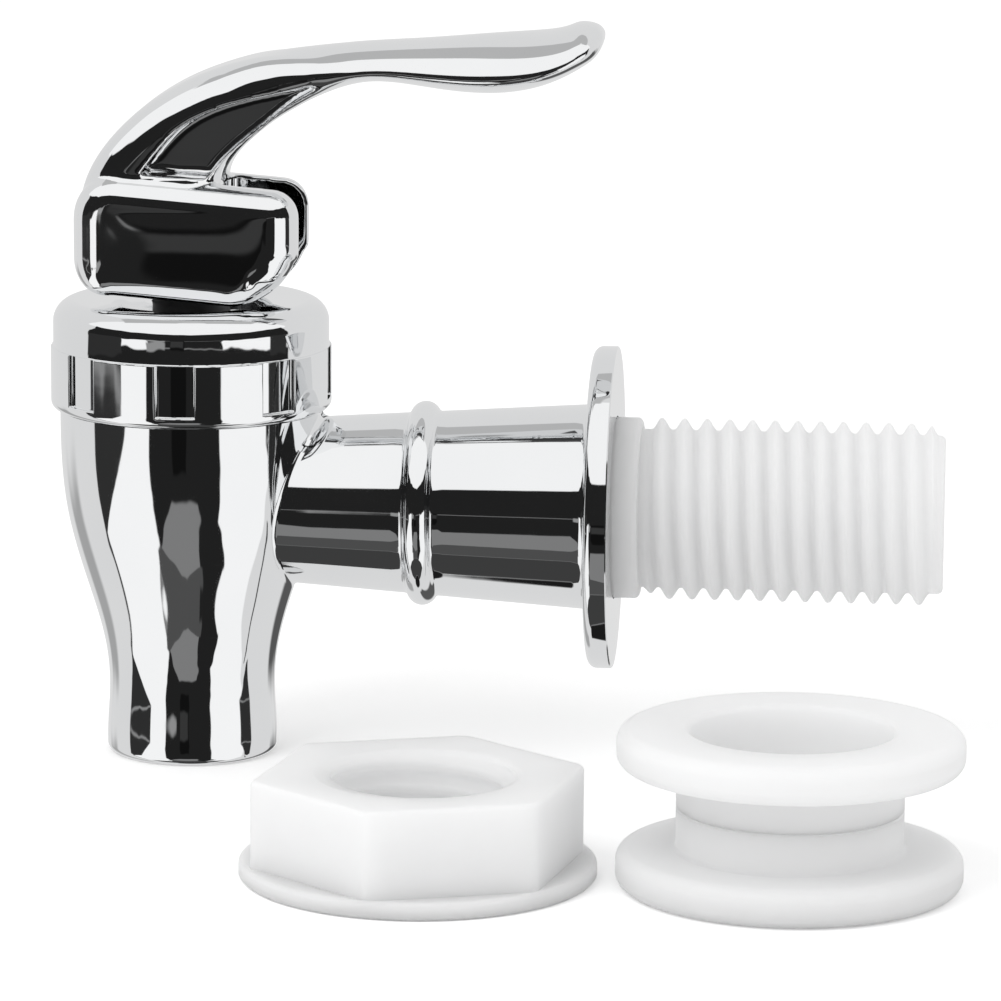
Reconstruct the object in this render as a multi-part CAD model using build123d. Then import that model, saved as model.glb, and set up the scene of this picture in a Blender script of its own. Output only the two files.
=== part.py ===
from build123d import *
import os
from math import cos, radians, sin

# Push-lever spigot for a drinks dispenser, with its hex nut and two flanged washers taken off and lying in
# front of it. Millimetres. The origin is the centre of the flange's rear face, +X runs along the shank into
# the tank and +Z is up.
os.makedirs("parts", exist_ok=True)

# Shank, bead and wall flange, measured from the flange's rear face
body_reach = 37.8
flange_radius = 14.25
flange_thickness = 2.1
flange_edge_round = 0.8
shank_flange_radius = 9.1
shank_taper = 0.0665
shank_flange_fillet = 0.7
bead_setback = 17.0
bead_half_width = 1.3
bead_height = 0.95
bead_fillet = 0.4

# Vase-shaped body, radii and heights above the shank axis
shoulder_step = 1.42
belly_radius = 11.0
belly_height = -1.0
flank_radius = 9.25
flank_height = -7.5
throat_radius = 7.62
throat_height = -13.6
waist_radius = 7.38
waist_height = -17.2
mouth_radius = 7.58
mouth_height = -21.2
spout_drop = 22.8
mouth_round = 0.7
body_shank_fillet = 0.6

# Water way
spout_bore_radius = 5.6
mouth_chamfer = 0.5
chamber_radius = 8.0
seat_height = -7.0
seat_relief_radius = 5.9
seat_relief_depth = 3.0
passage_radius = 4.6

# Neck under the cap
cap_bottom = 8.3
cap_gap = 0.1
neck_radius = 10.2
neck_top = 15.0
gasket_thickness = 1.0
gasket_wall = 2.0

# Bonnet cap
cap_crown = 2.0
cap_wall = 2.0
cap_top_round = 2.0
cap_dish_depth = 0.25
cap_dish_radius = 8.6
grip_step = 0.22
grip_top = 13.9
grip_bottom_round = 0.7
grip_count = 8
grip_recess_angle = 16.0
grip_recess_depth = 0.4
grip_recess_sill = 9.3
grip_recess_first = -6.7
cap_skirt_clearance = 0.1

# Stem, piston, spring and seat cup
stem_radius = 3.4
stem_clearance = 0.08
pivot_rise = 4.9
pivot_bore_radius = 1.6
foot_radius = 2.2
foot_depth = 1.6
piston_bottom = 5.6
piston_height = 3.0
piston_clearance = 0.12
o_ring_wire = 0.9
o_ring_clearance = 0.05
groove_side = 0.1
spring_radius = 5.5
spring_wire = 0.4
spring_turns = 4.5
slip_washer_thickness = 0.8
slip_washer_gap = 0.6
cup_radius = 7.2
cup_disc = 2.0
cup_hub_radius = 3.9
cup_hub_height = 3.6
cup_nose_depth = 2.6
cup_nose_tip_radius = 3.4
seal_gap = 0.02
cup_bore_gap = 0.3

# Lever: fork, cam, neck and blade, X from the stem axis, heights above the shank axis
lever_gap = 0.06
lever_width = 13.0
fork_slot = 7.0
fork_back = 9.85
fork_back_round = 3.0
fork_front_round = 2.3
fork_corner_round = 3.0
fork_edge_round = 1.1
fork_top_back = 29.4
fork_top_front = 28.5
fork_nose_round = 1.7
fork_crown_round = 3.7
cam_radius = 5.9
cam_reach = 4.1
slot_back_wall = 3.2
slot_roof = 26.7
slot_open_start = 3.3
trunnion_length = 1.2
trunnion_clearance = 0.05
web_thickness = 3.0

# Threaded nipple
collar_radius = 8.0
collar_length = 2.3
collar_boss_radius = 7.8
collar_seat_depth = 0.6
collar_seat_clearance = 0.1
nipple_length = 29.0
thread_pitch = 2.0
thread_crest_radius = 8.0
thread_root_radius = 7.0
thread_start = 3.5
thread_end_gap = 0.9
thread_flat = 0.18
nipple_bore_radius = 4.8
tail_radius = 6.6
tail_length = 12.0
tail_groove_from_end = 3.0
tail_ring_wire = 0.5
nipple_end_chamfer = 0.4

# Flanged hex nut
nut_across_flats = 24.5
nut_flange_radius = 14.7
nut_flange_thickness = 1.5
nut_height = 8.6
nut_corner_chamfer = 0.6
nut_thread_clearance = 0.15
tap_turns = 12  # turns on the tap that cuts the nut, longer than the nut is high
nut_turn = -11.8

# Flanged washers
washer_radius = 14.2
washer_thickness = 3.15
washer_edge_round = 1.1
washer_collar_radius = 9.3
washer_collar_height = 3.4
washer_bore_radius = 8.3
washer_bore_round = 0.5

# Where the loose fittings lie
loose_forward = 42.0
nut_place = -13.4
washer_place = 17.0

# Worked out
body_axis = Location((-body_reach, 0, 0))
shank_body_radius = shank_flange_radius - shank_taper * (body_reach - flange_thickness)
shoulder_radius = neck_radius + shoulder_step
cap_radius = neck_radius + cap_wall
grip_radius = cap_radius + grip_step
slip_washer_radius = neck_radius - gasket_wall - slip_washer_gap
cap_underside = neck_top + gasket_thickness
cap_top = cap_underside + cap_crown
pivot_height = cap_top + pivot_rise
piston_top = piston_bottom + piston_height
spring_top = cap_underside - slip_washer_thickness
seat_top = seat_height + seal_gap
floor_height = -spout_drop
thread_turns = (nipple_length - thread_start - thread_end_gap) / thread_pitch


def turned(outline, axis=Axis.Z):
    """Solid of revolution from a closed outline drawn in the XZ plane."""
    return revolve(Plane.XZ * make_face(outline), axis)


def rod(radius, bottom, top):
    """Upright cylinder on the Z axis between two heights."""
    cylinder = Cylinder(radius, top - bottom, align=(Align.CENTER, Align.CENTER, Align.MIN))
    return cylinder.moved(Location((0, 0, bottom)))


def ring(inner, outer, bottom, top):
    """Upright ring on the Z axis between two heights."""
    return rod(outer, bottom, top) - rod(inner, bottom, top)


def along_shank(solid):
    """Turn a solid made on the Z axis so that it lies on the X axis."""
    return Plane(origin=(0, 0, 0), x_dir=(0, 1, 0), z_dir=(1, 0, 0)) * solid


def thread_ridge(root, crest, turns, start):
    """Helical V ridge on the Z axis, sunk a little below the root so that it joins its core."""
    sink = 0.25
    path = Helix(pitch=thread_pitch, height=thread_pitch * turns, radius=root)
    profile = Polyline(
        (root - sink, -0.42 * thread_pitch),
        (crest, -thread_flat / 2),
        (crest, thread_flat / 2),
        (root - sink, 0.42 * thread_pitch),
        close=True,
    )
    section = Plane.XZ * make_face(profile)
    return sweep(section, path=path, is_frenet=True).moved(Location((0, 0, start)))


def vase():
    """Solid of the upright body: neck, shoulder, belly, waist and mouth."""
    seat_for_cap = cap_bottom - cap_gap
    side = Spline(
        (shoulder_radius, seat_for_cap),
        (belly_radius, belly_height),
        (flank_radius, flank_height),
        (throat_radius, throat_height),
        (waist_radius, waist_height),
        (mouth_radius, mouth_height),
        tangents=((0, -1), (0.02, -1)),
    )
    rest = Polyline(
        (mouth_radius, mouth_height),
        (mouth_radius, -spout_drop),
        (0, -spout_drop),
        (0, neck_top),
        (neck_radius, neck_top),
        (neck_radius, seat_for_cap),
        (shoulder_radius, seat_for_cap),
    )
    solid = turned(side + rest).moved(Location((0, 0, 0), (0, 0, 180)))
    mouth_edge = solid.edges().filter_by(GeomType.CIRCLE).group_by(Axis.Z)[0]
    return fillet(mouth_edge, mouth_round)


def shank():
    """Tapered shank with its half-round bead and the wall flange, on the X axis."""
    outline = make_face(Polyline(
        (-body_reach, 0),
        (-body_reach, shank_body_radius),
        (-flange_thickness, shank_flange_radius),
        (-flange_thickness, flange_radius),
        (0, flange_radius),
        (0, 0),
        close=True,
    ))
    flange_root = outline.vertices().sort_by_distance((-flange_thickness, shank_flange_radius))[0]
    outline = fillet(flange_root, shank_flange_fillet)
    flange_corner = outline.vertices().sort_by_distance((-flange_thickness, flange_radius))[0]
    outline = fillet(flange_corner, flange_edge_round)
    radius_there = shank_flange_radius - shank_taper * (bead_setback - flange_thickness)
    hoop_radius = radius_there + bead_height - bead_half_width
    bead = Circle(bead_half_width).moved(Location((-bead_setback, hoop_radius, 0)))
    outline = outline + bead
    feet = outline.vertices().sort_by_distance((-bead_setback, radius_there))[:2]
    outline = fillet(feet, bead_fillet)
    return revolve(Plane.XZ * outline, Axis.X)


def faucet_body():
    """Plated shell: vase, shank and flange in one moulding, with chamber, seat, passage and spout bore."""
    upright = vase().moved(body_axis)
    side_arm = shank()
    shell = upright + side_arm
    curved = [edge for edge in shell.edges() if edge.geom_type not in (GeomType.CIRCLE, GeomType.LINE)]
    joint_edges = [edge for edge in curved if edge.bounding_box().min.X > -body_reach + waist_radius]
    shell = fillet(joint_edges, body_shank_fillet)
    chamber = rod(chamber_radius, seat_height, neck_top).moved(body_axis)
    spout = rod(spout_bore_radius, -spout_drop, seat_height).moved(body_axis)
    seat_relief = rod(seat_relief_radius, seat_height - seat_relief_depth, seat_height).moved(body_axis)
    mouth = Cone(spout_bore_radius + mouth_chamfer, spout_bore_radius, mouth_chamfer,
                 align=(Align.CENTER, Align.CENTER, Align.MIN)).moved(Location((-body_reach, 0, -spout_drop)))
    passage = along_shank(rod(passage_radius, -body_reach, 0))
    socket = along_shank(rod(tail_radius, -tail_length, 0))
    collar_seat = along_shank(rod(collar_radius + collar_seat_clearance, -collar_seat_depth, 0))
    return shell - chamber - spout - seat_relief - mouth - passage - socket - collar_seat


def bonnet_cap():
    """Screwed cap: dished crown, plain band and a grip ring with recesses between its pads."""
    crown = turned(Polyline(
        (0, cap_bottom),
        (grip_radius, cap_bottom),
        (grip_radius, grip_top),
        (cap_radius, grip_top),
        (cap_radius, cap_top),
        (0, cap_top),
        close=True,
    ))
    top_edge = crown.edges().filter_by(GeomType.CIRCLE).group_by(Axis.Z)[-1]
    crown = fillet(top_edge, cap_top_round)
    low_edge = crown.edges().filter_by(GeomType.CIRCLE).group_by(Axis.Z)[0]
    crown = fillet(low_edge, grip_bottom_round)
    recess_width = 2 * grip_radius * sin(radians(grip_recess_angle / 2))
    floor_radius = grip_radius - grip_recess_depth
    recess = Box(grip_radius, recess_width, grip_top - grip_recess_sill,
                 align=(Align.MIN, Align.CENTER, Align.MIN)).moved(Location((0, 0, grip_recess_sill)))
    recess = recess - rod(floor_radius, cap_bottom, cap_top)
    for number in range(grip_count):
        turn = grip_recess_first + number * 360 / grip_count
        crown = crown - recess.moved(Location((0, 0, 0), (0, 0, turn)))
    sphere_radius = (cap_dish_radius ** 2 + cap_dish_depth ** 2) / (2 * cap_dish_depth)
    dish = Sphere(sphere_radius).moved(Location((0, 0, cap_top - cap_dish_depth + sphere_radius)))
    bore = rod(neck_radius + cap_skirt_clearance, cap_bottom, cap_underside)
    stem_hole = rod(stem_radius + stem_clearance, cap_bottom, cap_top)
    return (crown - dish - bore - stem_hole).moved(body_axis)


def bonnet_gasket():
    """Flat ring between the neck and the cap."""
    return ring(neck_radius - gasket_wall, neck_radius, neck_top, cap_underside).moved(body_axis)


def spring_washer():
    """Slip washer between the spring and the cap."""
    inner = stem_radius + stem_clearance
    return ring(inner, slip_washer_radius, spring_top, cap_underside).moved(body_axis)


def stem_spring():
    """Compression spring between the piston and the slip washer."""
    bottom = piston_top + spring_wire
    height = spring_top - spring_wire - bottom
    path = Helix(pitch=height / spring_turns, height=height, radius=spring_radius)
    section = Plane(origin=path @ 0, z_dir=path % 0) * Circle(spring_wire)
    return sweep(section, path=path, is_frenet=True).moved(Location((-body_reach, 0, bottom)))


def valve_stem():
    """Round stem with the cross bore for the lever, the piston with its ring groove, and the foot."""
    shaft = rod(stem_radius, piston_top, pivot_height)
    head = Cylinder(stem_radius, 2 * stem_radius).moved(Location((0, 0, pivot_height), (90, 0, 0)))
    head = head & rod(stem_radius, piston_top, pivot_height + 2 * stem_radius)
    piston = rod(chamber_radius - piston_clearance, piston_bottom, piston_top)
    groove_floor = chamber_radius - o_ring_clearance - 2 * o_ring_wire
    middle = (piston_bottom + piston_top) / 2
    half_groove = o_ring_wire + groove_side
    groove = ring(groove_floor, chamber_radius + 1, middle - half_groove, middle + half_groove)
    foot = rod(foot_radius, seat_top - foot_depth, piston_bottom)
    cross_bore = Cylinder(pivot_bore_radius, 4 * stem_radius).moved(Location((0, 0, pivot_height), (90, 0, 0)))
    return (shaft + head + (piston - groove) + foot - cross_bore).moved(body_axis)


def stem_o_ring():
    """Sealing ring in the piston's groove."""
    middle = (piston_bottom + piston_top) / 2
    hoop = chamber_radius - o_ring_clearance - o_ring_wire
    return Torus(hoop, o_ring_wire).moved(Location((-body_reach, 0, middle)))


def seat_cup():
    """Silicone plug: sealing disc on the seat, tapered nose in the bore, hub round the stem's foot."""
    disc_top = seat_top + cup_disc
    hub_top = disc_top + cup_hub_height
    plug = turned(Polyline(
        (0, seat_top - cup_nose_depth),
        (cup_nose_tip_radius, seat_top - cup_nose_depth),
        (spout_bore_radius - cup_bore_gap, seat_top),
        (cup_radius, seat_top),
        (cup_radius, disc_top),
        (cup_hub_radius, disc_top),
        (cup_hub_radius, hub_top),
        (0, hub_top),
        close=True,
    ))
    socket = rod(foot_radius, seat_top - foot_depth, hub_top)
    return (plug - socket).moved(body_axis)


def fork():
    """Base of the lever with its cam, where the side, plan and end outlines meet."""
    bottom = cap_top + lever_gap
    cam_centre = bottom + cam_radius
    front = cam_reach + cam_radius
    frame = Polyline((front, cam_centre), (front, fork_top_front), (-fork_back, fork_top_back),
                     (-fork_back, bottom), (cam_reach, bottom))
    cam_middle = radians(-45)
    cam = ThreePointArc((cam_reach, bottom),
                        (cam_reach + cam_radius * cos(cam_middle), cam_centre + cam_radius * sin(cam_middle)),
                        (front, cam_centre))
    side = make_face(frame + cam)
    back_corner = side.vertices().sort_by(Axis.Y)[:2].sort_by(Axis.X)[0]
    side = fillet(back_corner, fork_corner_round)
    nose_corner = side.vertices().group_by(Axis.X)[-1].sort_by(Axis.Y)[-1]
    side = fillet(nose_corner, fork_nose_round)
    crown_corner = side.vertices().sort_by_distance((-fork_back, fork_top_back))[0]
    side = fillet(crown_corner, fork_crown_round)
    block = extrude(Plane.XZ * side, lever_width / 2, both=True)
    plan = Rectangle(fork_back + front, lever_width).moved(Location(((front - fork_back) / 2, 0, 0)))
    plan = fillet(plan.vertices().group_by(Axis.X)[0], fork_back_round)
    plan = fillet(plan.vertices().group_by(Axis.X)[-1], fork_front_round)
    rise = fork_top_back - bottom
    across = Rectangle(lever_width, rise).moved(Location((0, bottom + rise / 2, 0)))
    across = fillet(across.vertices(), fork_edge_round)
    along = extrude(Plane.YZ * across, 2 * fork_back, both=True)
    return block & extrude(plan, 2 * fork_top_back) & along


def arm():
    """Neck and leaf-shaped blade, lofted through rounded sections square to their line."""
    sections = []
    for along, height, slope, thickness, width in arm_stations:
        round_off = min(thickness, width) * 0.46
        heading = (cos(radians(slope)), 0, sin(radians(slope)))
        plane = Plane(origin=(along, 0, height), x_dir=(0, 1, 0), z_dir=heading)
        sections.append(plane * RectangleRounded(width, thickness, min(round_off, neck_edge_round)))
    return loft(sections)


# Stations of the arm: distance from the stem axis, height, slope, thickness and width
arm_stations = [
    (-3.35, 24.5, 90, 12.4, 12.5),
    (-3.0, 27.8, 84, 12.2, 12.5),
    (-1.3, 31.4, 68, 10.0, 12.1),
    (2.15, 34.6, 53, 8.3, 11.2),
    (6.7, 37.2, 36, 6.2, 10.0),
    (10.9, 38.6, 20, 4.5, 9.0),
    (15.4, 39.45, 9, 3.5, 8.8),
    (20.4, 39.5, 1, 4.1, 9.6),
    (26.3, 39.5, 2, 5.2, 11.6),
    (31.2, 40.15, 12, 4.9, 12.6),
    (34.3, 41.1, 20, 3.9, 11.2),
    (35.8, 41.9, 25, 2.9, 8.8),
    (36.7, 42.35, 27, 1.3, 4.6),
]
neck_edge_round = 3.1

# Side panel of the neck, recessed on both sides down to the web
panel_foot_back = (-3.9, 29.5)
panel_foot_front = (2.0, 29.2)
panel_upper = [(-0.3, 33.6), (4.7, 35.9), (9.9, 37.1)]
panel_tip = (12.8, 37.7)
panel_lower = [(9.9, 36.2), (6.9, 33.9), (4.1, 31.6)]


def neck_panel():
    """Cutter for the recessed side panels, leaving the web between them."""
    upper = Spline(panel_foot_back, *panel_upper, panel_tip)
    lower = Spline(panel_tip, *panel_lower, panel_foot_front)
    foot = Line(panel_foot_front, panel_foot_back)
    face = make_face(upper + lower + foot)
    side = extrude(Plane.XZ * face, lever_width)
    near = side.moved(Location((0, -web_thickness / 2, 0)))
    return near + mirror(near, about=Plane.XZ)


def lever_handle():
    """Lever in one moulding: fork with its cam, trunnions inside the cheeks, neck and blade."""
    slot_back = -fork_back + slot_back_wall
    front = cam_reach + cam_radius
    slot = Box(front - slot_back + 1, fork_slot, slot_roof - cap_top,
               align=(Align.MIN, Align.CENTER, Align.MIN)).moved(Location((slot_back, 0, cap_top)))
    open_slot = Box(front, fork_slot, fork_top_back - cap_top + 1,
                    align=(Align.MIN, Align.CENTER, Align.MIN)).moved(Location((slot_open_start, 0, cap_top)))
    base = (fork() - open_slot) + (arm() - neck_panel())
    pin_radius = pivot_bore_radius - trunnion_clearance
    pin = Cylinder(pin_radius, trunnion_length, align=(Align.CENTER, Align.CENTER, Align.MIN))
    near_pin = pin.moved(Location((0, -fork_slot / 2, pivot_height), (-90, 0, 0)))
    far_pin = mirror(near_pin, about=Plane.XZ)
    return (base - slot + near_pin + far_pin).moved(body_axis)


def threaded_nipple():
    """Translucent nipple: tail pressed in the shank, plain collar and a true helical thread."""
    core = rod(thread_root_radius, 0, nipple_length)
    core = chamfer(core.edges().group_by(Axis.Z)[-1], nipple_end_chamfer)
    collar = rod(collar_radius, 0, collar_length)
    boss = rod(collar_boss_radius, -collar_seat_depth, 0)
    tail = rod(tail_radius, -tail_length, 0)
    groove_middle = -tail_length + tail_groove_from_end
    groove = ring(tail_radius - 2 * tail_ring_wire, tail_radius + 1,
                  groove_middle - tail_ring_wire - groove_side, groove_middle + tail_ring_wire + groove_side)
    ridge = thread_ridge(thread_root_radius, thread_crest_radius, thread_turns, thread_start)
    bore = rod(nipple_bore_radius, -tail_length, nipple_length)
    return along_shank(core + ridge + collar + boss + (tail - groove) - bore)


def nipple_o_ring():
    """Sealing ring in the groove of the nipple's tail."""
    hoop = Torus(tail_radius - tail_ring_wire, tail_ring_wire)
    return along_shank(hoop.moved(Location((0, 0, -tail_length + tail_groove_from_end))))


def hex_nut():
    """Flanged hex nut with an internal thread that runs on the nipple."""
    hexagon = RegularPolygon(nut_across_flats / 2, 6, major_radius=False)
    blank = extrude(hexagon, nut_height)
    corner_radius = nut_across_flats / 2 / cos(radians(30))
    top_cone = turned(Polyline(
        (0, 0),
        (corner_radius + 1, 0),
        (corner_radius + 1, nut_height - nut_corner_chamfer - 0.6),
        (corner_radius - 2 * nut_corner_chamfer, nut_height),
        (0, nut_height),
        close=True,
    ))
    blank = blank & top_cone
    flange = rod(nut_flange_radius, 0, nut_flange_thickness)
    flange = chamfer(flange.edges().group_by(Axis.Z)[-1], nut_flange_thickness / 3)
    root = thread_root_radius + nut_thread_clearance
    crest = thread_crest_radius + nut_thread_clearance
    overrun = 3 * thread_pitch
    ridge = thread_ridge(root, crest, tap_turns, -overrun)
    bore = rod(root, -overrun, (tap_turns - 2) * thread_pitch)
    nut = (blank + flange) - (bore + ridge)
    place = Location((nut_place, -loose_forward, floor_height), (0, 0, nut_turn))
    return nut.moved(place)


def flanged_washer():
    """Soft washer: thick disc with rounded rim and a collar that enters the tank wall."""
    profile = make_face(Polyline(
        (washer_bore_radius, 0),
        (washer_radius, 0),
        (washer_radius, washer_thickness),
        (washer_collar_radius, washer_thickness),
        (washer_collar_radius, washer_thickness + washer_collar_height),
        (washer_bore_radius, washer_thickness + washer_collar_height),
        close=True,
    ))
    rim = profile.vertices().group_by(Axis.X)[-1]
    profile = fillet(rim, washer_edge_round)
    lip = profile.vertices().group_by(Axis.X)[0].sort_by(Axis.Y)[0]
    profile = fillet(lip, washer_bore_round)
    return revolve(Plane.XZ * profile, Axis.Z)


def outer_washer():
    """Lower washer of the pair, its collar upwards."""
    return flanged_washer().moved(Location((washer_place, -loose_forward, floor_height)))


def inner_washer():
    """Upper washer of the pair, turned over so that the collars meet."""
    stack = 2 * (washer_thickness + washer_collar_height)
    turned_over = flanged_washer().moved(Location((0, 0, 0), (180, 0, 0)))
    return turned_over.moved(Location((washer_place, -loose_forward, floor_height + stack)))


pieces = {
    "faucet_body": faucet_body,
    "bonnet_cap": bonnet_cap,
    "bonnet_gasket": bonnet_gasket,
    "spring_washer": spring_washer,
    "stem_spring": stem_spring,
    "valve_stem": valve_stem,
    "stem_o_ring": stem_o_ring,
    "seat_cup": seat_cup,
    "lever_handle": lever_handle,
    "threaded_nipple": threaded_nipple,
    "nipple_o_ring": nipple_o_ring,
    "hex_nut": hex_nut,
    "outer_washer": outer_washer,
    "inner_washer": inner_washer,
}

for name, make in pieces.items():
    export_step(make(), f"parts/{name}.step")
    print("made", name)
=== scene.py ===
# Push-lever spigot for a drinks dispenser: chrome-plated body, cap and lever, natural plastic nipple,
# with its hex nut and two washers lying in front. Pieces are modelled in millimetres, then brought to metres.
import math

import bmesh
import bpy
import numpy as np
from mathutils import Matrix, Vector


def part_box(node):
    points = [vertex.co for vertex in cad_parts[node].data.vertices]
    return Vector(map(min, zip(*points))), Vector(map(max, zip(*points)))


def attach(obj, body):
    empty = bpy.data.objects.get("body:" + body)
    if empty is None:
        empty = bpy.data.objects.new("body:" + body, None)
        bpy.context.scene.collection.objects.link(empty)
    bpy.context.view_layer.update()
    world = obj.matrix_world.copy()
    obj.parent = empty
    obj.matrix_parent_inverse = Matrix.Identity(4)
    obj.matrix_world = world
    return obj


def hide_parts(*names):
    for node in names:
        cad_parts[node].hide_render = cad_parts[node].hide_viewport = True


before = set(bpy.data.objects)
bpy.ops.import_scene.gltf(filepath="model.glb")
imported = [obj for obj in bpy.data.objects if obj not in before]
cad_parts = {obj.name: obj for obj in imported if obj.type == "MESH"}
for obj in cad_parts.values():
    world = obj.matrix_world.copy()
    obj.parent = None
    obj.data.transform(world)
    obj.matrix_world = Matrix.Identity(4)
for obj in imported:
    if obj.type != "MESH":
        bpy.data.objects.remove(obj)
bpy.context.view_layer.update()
mm = 0.001


def inMm(node):  # lowest and highest corners of a CAD node, in millimetres
    low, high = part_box(node)
    return low / mm, high / mm


stemLow, stemHigh = inMm("valve_stem")
capLow, capHigh = inMm("bonnet_cap")
nippleHigh = inMm("threaded_nipple")[1]
nutLow, nutHigh = inMm("hex_nut")
washerLow, washerHigh = inMm("outer_washer")
upperLow, upperHigh = inMm("inner_washer")
axisX = (stemLow.x + stemHigh.x) / 2
floorZ = inMm("faucet_body")[0].z


# Modelling helpers

def freeHands():
    if bpy.context.object and bpy.context.object.mode != "OBJECT":
        bpy.ops.object.mode_set(mode="OBJECT")
    bpy.ops.object.select_all(action="DESELECT")


def takeUp(piece, mode="OBJECT"):
    freeHands()
    piece.select_set(True)
    bpy.context.view_layer.objects.active = piece
    bpy.ops.object.mode_set(mode=mode)


def finishModifier(piece, kind, **settings):
    takeUp(piece)
    modifier = piece.modifiers.new(kind, kind)
    for name, value in settings.items():
        setattr(modifier, name, value)
    bpy.ops.object.modifier_apply(modifier=modifier.name)


def boolean(piece, tool, operation="DIFFERENCE"):
    finishModifier(piece, "BOOLEAN", object=tool, operation=operation, solver="EXACT")
    bpy.data.objects.remove(tool)
    return piece


def joinPieces(piece, other):
    takeUp(piece)
    other.select_set(True)
    bpy.ops.object.join()
    return piece


def loft(name, rings):  # a closed skin through rings of the same number of points
    freeHands()
    bpy.ops.mesh.primitive_circle_add(vertices=len(rings[0]), radius=1, fill_type="NGON")
    piece = bpy.context.object
    piece.name = name
    bpy.ops.object.mode_set(mode="EDIT")
    bpy.ops.mesh.select_mode(type="FACE")
    mesh = bmesh.from_edit_mesh(piece.data)
    mesh.faces.ensure_lookup_table()
    for vertex, spot in zip(mesh.faces[0].verts, rings[0]):
        vertex.co = spot
    for before, after in zip(rings, rings[1:]):
        bpy.ops.mesh.extrude_region_move()
        mesh = bmesh.from_edit_mesh(piece.data)
        cap = [face for face in mesh.faces if face.select][0]
        old = np.array([tuple(spot) for spot in before])
        for vertex in cap.verts:
            nearest = np.argmin(np.sum((old - np.array(vertex.co)) ** 2, axis=1))
            vertex.co = after[nearest]
    bpy.ops.mesh.select_all(action="SELECT")
    bpy.ops.mesh.normals_make_consistent(inside=False)
    bpy.ops.object.mode_set(mode="OBJECT")
    return piece


def prism(name, outline, way):  # a flat outline pushed along one way
    way = Vector(way)
    near = [Vector(spot) for spot in outline]
    return loft(name, [near, [spot + way for spot in near]])


# outline is a closed ring of (radius, place along the axis)
def lathe(name, outline, steps, axis="Z", firstAngle=0.0):
    freeHands()
    bpy.ops.mesh.primitive_circle_add(vertices=len(outline), radius=1, fill_type="NOTHING")
    piece = bpy.context.object
    piece.name = name
    bpy.ops.object.mode_set(mode="EDIT")
    mesh = bmesh.from_edit_mesh(piece.data)
    turn = math.radians(firstAngle)
    mesh.verts.ensure_lookup_table()
    for vertex, (radius, along) in zip(mesh.verts, outline):
        if axis == "Z":
            vertex.co = (radius * math.cos(turn), radius * math.sin(turn), along)
        else:
            vertex.co = (along, radius * math.cos(turn), radius * math.sin(turn))
    bpy.ops.mesh.select_all(action="SELECT")
    direction = (0, 0, 1) if axis == "Z" else (1, 0, 0)
    bpy.ops.mesh.spin(steps=steps, angle=math.tau, center=(0, 0, 0), axis=direction)
    bpy.ops.mesh.select_all(action="SELECT")
    bpy.ops.mesh.remove_doubles(threshold=0.0005)
    bpy.ops.mesh.normals_make_consistent(inside=False)
    bpy.ops.object.mode_set(mode="OBJECT")
    return piece


def shift(piece, way):
    piece.location = way
    takeUp(piece)
    bpy.ops.object.transform_apply()
    return piece


def arc(centre, radius, start, end, steps=8):  # points on an arc, angles in degrees
    angles = [math.radians(start + (end - start) * i / steps) for i in range(steps + 1)]
    return [(centre[0] + radius * math.cos(a), centre[1] + radius * math.sin(a)) for a in angles]


def swapped(points):  # (place along the axis, radius) turned into (radius, place)
    return [(second, first) for first, second in points]


# smooth cubic line through the points, with its directions at both ends
def splineThrough(points, startWay, endWay, between):
    spots = np.array(points, float)
    gaps = np.linalg.norm(np.diff(spots[:, :2], axis=0), axis=1)
    count, width = spots.shape
    left = np.zeros((count, count))
    right = np.zeros((count, width))
    left[0, 0] = left[-1, -1] = 1
    right[0] = startWay
    right[-1] = endWay
    for i in range(1, count - 1):
        before, after = gaps[i - 1], gaps[i]
        left[i, i - 1:i + 2] = after, 2 * (before + after), before
        cameBy, goesBy = spots[i] - spots[i - 1], spots[i + 1] - spots[i]
        right[i] = 3 * (after / before * cameBy + before / after * goesBy)
    ways = np.linalg.solve(left, right)
    line = [spots[0]]
    for i, gap in enumerate(gaps):
        for step in range(1, between + 1):
            t = step / between
            line.append((2 * t ** 3 - 3 * t ** 2 + 1) * spots[i] + (t ** 3 - 2 * t ** 2 + t) * gap * ways[i]
                        + (3 * t ** 2 - 2 * t ** 3) * spots[i + 1] + (t ** 3 - t ** 2) * gap * ways[i + 1])
    return np.array(line)


def roundedOutline(corners, steps=8):  # corners are (x, y, radius), walked in order
    outline = []
    for i, (x, y, radius) in enumerate(corners):
        here = Vector((x, y))
        toBefore = (Vector(corners[i - 1][:2]) - here).normalized()
        toAfter = (Vector(corners[(i + 1) % len(corners)][:2]) - here).normalized()
        if radius == 0:
            outline.append(tuple(here))
            continue
        half = toBefore.angle(toAfter) / 2
        middle = here + (toBefore + toAfter).normalized() * radius / math.sin(half)
        first = here + toBefore * radius / math.tan(half) - middle
        last = here + toAfter * radius / math.tan(half) - middle
        start = math.atan2(first.y, first.x)
        sweep = (math.atan2(last.y, last.x) - start + math.pi) % math.tau - math.pi
        for step in range(steps + 1):
            angle = start + sweep * step / steps
            outline.append((middle.x + radius * math.cos(angle), middle.y + radius * math.sin(angle)))
    return outline


def smoothStep(value, low, high):
    share = np.clip((value - low) / (high - low), 0, 1)
    return share * share * (3 - 2 * share)


# brings a piece to metres, dresses it and puts it on its body in place of its CAD nodes
def settle(piece, material, body, slot, *nodes, smoothAngle=30, evenFaces=False):
    takeUp(piece)
    piece.scale = (mm, mm, mm)
    bpy.ops.object.transform_apply()
    bpy.ops.object.shade_smooth_by_angle(angle=math.radians(smoothAngle))
    if not evenFaces:
        finishModifier(piece, "WEIGHTED_NORMAL", keep_sharp=True, weight=90)
    piece.data.materials.clear()
    piece.data.materials.append(material)
    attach(piece, body)
    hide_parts(*nodes)
    print("made", piece.name, len(piece.data.polygons), "faces")
    return piece


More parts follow.
